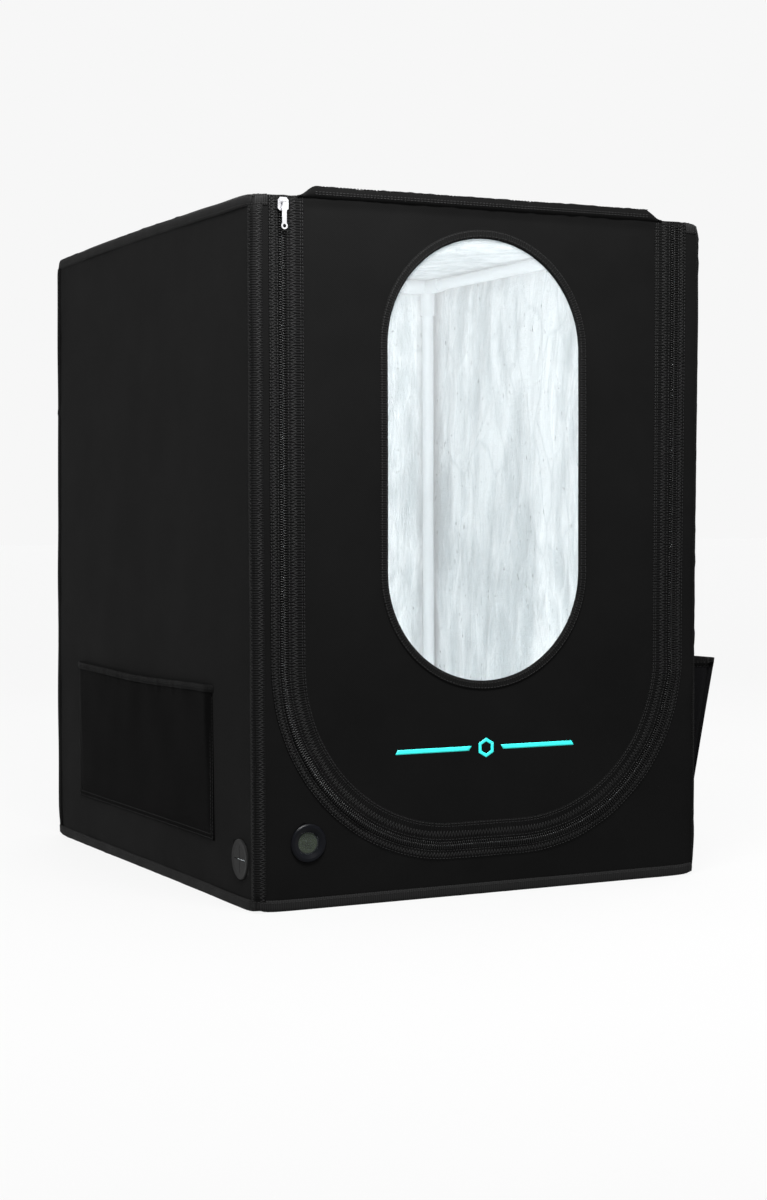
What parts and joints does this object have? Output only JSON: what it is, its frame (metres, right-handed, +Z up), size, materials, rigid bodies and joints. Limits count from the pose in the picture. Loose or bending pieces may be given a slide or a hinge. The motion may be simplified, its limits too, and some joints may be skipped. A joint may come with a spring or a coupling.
{
  "type": "3d printer enclosure tent",
  "caption": "Soft enclosure tent for a desktop 3D printer: framed black cloth cover lined with foil, zipped front door with a clear window, tool bag and thermometer.",
  "frame": {"origin": "on the floor under the middle of the cover's footprint", "axes": "+X to the right as seen from the front, +Y to the rear, +Z up; the door is on the -Y side"},
  "size_m": [0.6265, 0.6607, 0.7635],
  "materials": {
    "cover_cloth": "matt woven cloth, black",
    "bag_cloth": "matt woven cloth, black",
    "foil_lining": "metallised film, crinkled and shiny",
    "binding_tape": "ribbed tape, dark grey",
    "zipper_tape": "woven tape and coil, black",
    "clear_film": "clear flexible film",
    "emblem_print": "printed, turquoise",
    "slider_metal": "plated, satin",
    "pole_steel": "light grey coated steel tube",
    "connector_plastic": "light grey moulding",
    "meter_plastic": "black, semi-gloss",
    "meter_lens": "clear",
    "meter_display": "grey-green liquid crystal",
    "circuit_board": "green board",
    "battery_steel": "bright steel can",
    "grommet_rubber": "dark grey rubber"
  },
  "bodies": {
    "cover": {"pole_bottom_front": "pole_steel", "pole_bottom_rear": "pole_steel", "pole_top_front": "pole_steel", "pole_top_rear": "pole_steel", "pole_bottom_left": "pole_steel", "pole_bottom_right": "pole_steel", "pole_top_left": "pole_steel", "pole_top_right": "pole_steel", "pole_upright_front_left": "pole_steel", "pole_upright_front_right": "pole_steel", "pole_upright_rear_left": "pole_steel", "pole_upright_rear_right": "pole_steel", "connector_bottom_front_left": "connector_plastic", "connector_bottom_front_right": "connector_plastic", "connector_bottom_rear_left": "connector_plastic", "connector_bottom_rear_right": "connector_plastic", "connector_top_front_left": "connector_plastic", "connector_top_front_right": "connector_plastic", "connector_top_rear_left": "connector_plastic", "connector_top_rear_right": "connector_plastic", "floor_panel": "cover_cloth", "roof_panel": "cover_cloth", "left_panel": "cover_cloth", "right_panel": "cover_cloth", "rear_panel": "cover_cloth", "front_surround": "cover_cloth", "floor_lining": "foil_lining", "roof_lining": "foil_lining", "left_lining": "foil_lining", "right_lining": "foil_lining", "rear_lining": "foil_lining", "front_lining": "foil_lining", "bottom_binding": "binding_tape", "top_binding": "binding_tape", "corner_binding": "binding_tape", "door_top_welt": "binding_tape", "cover_zipper_half": "zipper_tape", "meter_bezel": "meter_plastic", "meter_case": "meter_plastic", "meter_lens": "meter_lens", "meter_display": "meter_display", "meter_board": "circuit_board", "meter_batteries": "battery_steel", "cable_grommet": "grommet_rubber", "side_pocket": "bag_cloth", "side_pocket_hem": "binding_tape", "tool_bag": "bag_cloth", "tool_bag_hem": "binding_tape", "tool_pockets": "bag_cloth", "tool_pocket_hems": "binding_tape"},
    "door": {"door_panel": "cover_cloth", "door_lining": "foil_lining", "window_film": "clear_film", "window_binding": "binding_tape", "door_emblem": "emblem_print", "door_zipper_half": "zipper_tape"},
    "slider": {"zipper_slider": "slider_metal"},
    "pull": {"zipper_pull": "slider_metal"},
    "battery_cover": {"meter_battery_cover": "meter_plastic"}
  },
  "joints": [
    {"name": "door_lift", "type": "hinge", "parent": "cover", "child": "door", "pos_m": [0, -0.3265, 0.762], "axis": [-1, 0, 0], "range_deg": [0, 270]},
    {"name": "slider_travel", "type": "slide", "parent": "door", "child": "slider", "axis": [0, 0, -1], "range_m": [0, 0.44]},
    {"name": "pull_swing", "type": "hinge", "parent": "slider", "child": "pull", "pos_m": [-0.242, -0.3322, 0.743], "axis": [-1, 0, 0], "range_deg": [0, 180]},
    {"name": "battery_cover_turn", "type": "hinge", "parent": "cover", "child": "battery_cover", "pos_m": [-0.215, -0.314, 0.0706], "axis": [0, -1, 0], "range_deg": [0, 40]}
  ]
}
